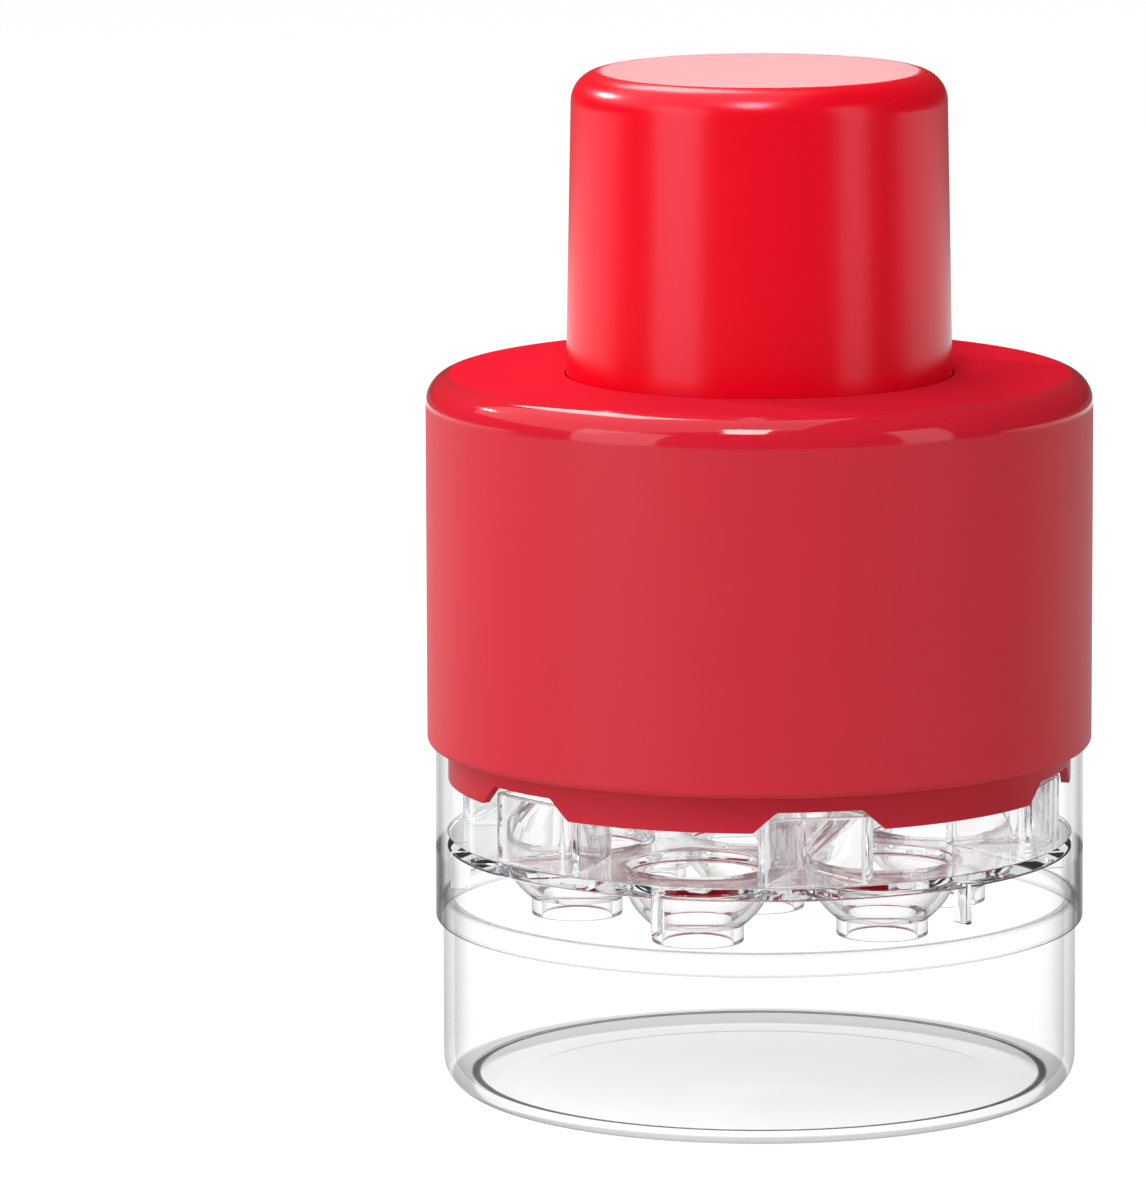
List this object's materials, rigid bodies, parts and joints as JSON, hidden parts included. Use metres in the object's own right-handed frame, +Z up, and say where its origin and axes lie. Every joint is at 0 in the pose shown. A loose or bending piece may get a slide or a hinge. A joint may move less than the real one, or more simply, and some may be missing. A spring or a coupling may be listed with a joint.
{
  "type": "cherry pitter",
  "caption": "Push-down cherry pitter: clear pit cup, clear tray of bowls, round housing and a sprung press cap that drives plungers through the bowls.",
  "frame": {"origin": "centre of the pit cup's flat base, on the surface it stands on", "axes": "+Z up through the press cap; one of the tray's six posts at -Y, one bowl at +X"},
  "size_m": [0.1228, 0.1228, 0.1892],
  "materials": {
    "clear_cup": "clear polished moulded plastic",
    "clear_tray": "clear polished moulded plastic",
    "housing_red": "satin moulded red plastic",
    "guide_red": "satin moulded red plastic",
    "cap_red": "glossy moulded bright red plastic",
    "inner_plastic": "satin off-white plastic",
    "plunger_plastic": "satin off-white plastic",
    "spring_steel": "drawn stainless spring wire",
    "screw_steel": "zinc plated self-tapping screw"
  },
  "bodies": {
    "cup": {"pit_cup": "clear_cup"},
    "tray": {"cherry_tray": "clear_tray"},
    "upper_unit": {"housing": "housing_red", "guide_plate": "guide_red", "guide_plate_screws": "screw_steel", "return_spring": "spring_steel"},
    "press": {"press_cap": "cap_red", "plunger_plate": "inner_plastic", "plunger_centre": "plunger_plastic", "plunger_1": "plunger_plastic", "plunger_2": "plunger_plastic", "plunger_3": "plunger_plastic", "plunger_4": "plunger_plastic", "plunger_5": "plunger_plastic", "plunger_6": "plunger_plastic", "cap_screws": "screw_steel"}
  },
  "joints": [
    {"name": "tray_lift", "type": "slide", "parent": "cup", "child": "tray", "axis": [0, 0, 1], "range_m": [0, 0.04]},
    {"name": "housing_lift", "type": "slide", "parent": "tray", "child": "upper_unit", "axis": [0, 0, 1], "range_m": [0, 0.07]},
    {"name": "press_slide", "type": "slide", "parent": "upper_unit", "child": "press", "axis": [0, 0, -1], "range_m": [0, 0.034], "stiffness_N_per_m": 670, "springref_m": -0.018, "deforming": ["return_spring"]}
  ]
}
